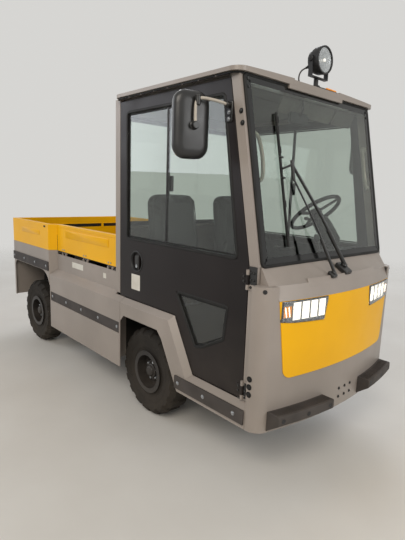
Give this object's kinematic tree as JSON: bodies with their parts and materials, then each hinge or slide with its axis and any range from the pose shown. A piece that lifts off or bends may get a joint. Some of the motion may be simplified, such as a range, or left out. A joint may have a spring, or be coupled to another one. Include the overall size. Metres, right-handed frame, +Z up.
{
  "type": "airport baggage tug",
  "caption": "Electric airport baggage tug with a glazed cab, hinged doors, steered front wheels, an open rear deck with fold-down side boards, and a towing jaw.",
  "frame": {"origin": "on the floor, under the middle of the tug's overall length and width", "axes": "+X forward, +Y to the driver's left, +Z up"},
  "size_m": [3.549, 1.7494, 2.314],
  "materials": {
    "body_grey": "satin mid grey paint",
    "signal_yellow": "gloss yellow paint",
    "chassis_black": "satin black paint",
    "door_black": "satin black paint",
    "battery_case": "matt steel case",
    "deck_plate": "matt black plate",
    "strip_rubber": "matt",
    "lamp_clear": "clear lens",
    "lamp_red": "red lens",
    "cab_glass": "clear",
    "trim_plastic": "textured black",
    "seat_vinyl": "dark vinyl",
    "arm_steel": "pale grey paint",
    "pin_steel": "zinc plated",
    "tyre_rubber": "matt",
    "rim_steel": "satin black paint"
  },
  "bodies": {
    "chassis": {"chassis_frame": "chassis_black", "front_frame": "chassis_black", "rear_frame": "chassis_black", "cab_floor": "chassis_black", "deck_floor": "deck_plate", "battery": "battery_case", "rear_body": "body_grey", "rear_boards": "signal_yellow", "pod_right": "body_grey", "pod_left": "body_grey", "fender_right": "body_grey", "fender_left": "body_grey", "side_strips": "strip_rubber", "front_apron": "body_grey", "front_cover": "body_grey", "front_panel": "signal_yellow", "headlamps": "lamp_clear", "step_blocks": "strip_rubber", "cab_frame": "body_grey", "cab_roof": "body_grey", "scuttle": "body_grey", "windscreen": "cab_glass", "rear_window": "cab_glass", "dashboard": "trim_plastic", "steering_column": "chassis_black", "seat_right": "seat_vinyl", "seat_left": "seat_vinyl", "pedals": "strip_rubber", "wiper": "trim_plastic", "work_light": "trim_plastic", "light_cable": "strip_rubber", "rear_lamps": "lamp_red", "hitch": "chassis_black", "rear_axle": "chassis_black", "front_axle": "chassis_black"},
    "steering_knuckle_right": {"knuckle_right": "chassis_black"},
    "wheel_front_right": {"tyre_front_right": "tyre_rubber", "rim_front_right": "rim_steel"},
    "wheel_rear_right": {"tyre_rear_right": "tyre_rubber", "rim_rear_right": "rim_steel"},
    "door_right": {"door_right": "door_black", "door_glass_right": "cab_glass", "mirror_right": "trim_plastic", "mirror_arm_right": "arm_steel"},
    "side_board_right": {"side_board_right": "signal_yellow"},
    "steering_knuckle_left": {"knuckle_left": "chassis_black"},
    "wheel_front_left": {"tyre_front_left": "tyre_rubber", "rim_front_left": "rim_steel"},
    "wheel_rear_left": {"tyre_rear_left": "tyre_rubber", "rim_rear_left": "rim_steel"},
    "door_left": {"door_left": "door_black", "door_glass_left": "cab_glass", "mirror_left": "trim_plastic", "mirror_arm_left": "arm_steel"},
    "side_board_left": {"side_board_left": "signal_yellow"},
    "steering_wheel": {"steering_wheel": "trim_plastic"},
    "hitch_pin": {"hitch_pin": "pin_steel"}
  },
  "joints": [
    {"name": "steer_right", "type": "hinge", "parent": "chassis", "child": "steering_knuckle_right", "pos_m": [0.60051, -0.395, 0.295], "axis": [0, 0, 1], "range_deg": [-35, 35]},
    {"name": "steer_left", "type": "hinge", "parent": "chassis", "child": "steering_knuckle_left", "pos_m": [0.60051, 0.395, 0.295], "axis": [0, 0, 1], "range_deg": [-35, 35]},
    {"name": "wheel_front_right_spin", "type": "hinge", "parent": "steering_knuckle_right", "child": "wheel_front_right", "pos_m": [0.60051, -0.5, 0.295], "axis": [0, 1, 0], "continuous": true},
    {"name": "wheel_front_left_spin", "type": "hinge", "parent": "steering_knuckle_left", "child": "wheel_front_left", "pos_m": [0.60051, 0.5, 0.295], "axis": [0, 1, 0], "continuous": true},
    {"name": "wheel_rear_right_spin", "type": "hinge", "parent": "chassis", "child": "wheel_rear_right", "pos_m": [-1.26949, -0.5, 0.295], "axis": [0, 1, 0], "continuous": true},
    {"name": "wheel_rear_left_spin", "type": "hinge", "parent": "chassis", "child": "wheel_rear_left", "pos_m": [-1.26949, 0.5, 0.295], "axis": [0, 1, 0], "continuous": true},
    {"name": "steering_wheel_turn", "type": "hinge", "parent": "chassis", "child": "steering_wheel", "pos_m": [1.20051, 0.35, 1.39], "axis": [-0.6428, 0, 0.766], "range_deg": [-560, 560]},
    {"name": "door_right_swing", "type": "hinge", "parent": "chassis", "child": "door_right", "pos_m": [1.49551, -0.621, 1.09], "axis": [0, 0, 1], "range_deg": [0, 80]},
    {"name": "door_left_swing", "type": "hinge", "parent": "chassis", "child": "door_left", "pos_m": [1.49551, 0.621, 1.09], "axis": [0, 0, -1], "range_deg": [0, 80]},
    {"name": "side_board_right_fold", "type": "hinge", "parent": "chassis", "child": "side_board_right", "pos_m": [-0.29449, -0.576, 0.942], "axis": [1, 0, 0], "range_deg": [0, 90]},
    {"name": "side_board_left_fold", "type": "hinge", "parent": "chassis", "child": "side_board_left", "pos_m": [-0.29449, 0.576, 0.942], "axis": [-1, 0, 0], "range_deg": [0, 90]},
    {"name": "hitch_pin_lift", "type": "slide", "parent": "chassis", "child": "hitch_pin", "axis": [0, 0, 1], "range_m": [0, 0.11]}
  ],
  "couplings": [
    {"joint": "steer_left", "follows": "steer_right", "ratio": 1},
    {"joint": "steering_wheel_turn", "follows": "steer_right", "ratio": 16}
  ]
}
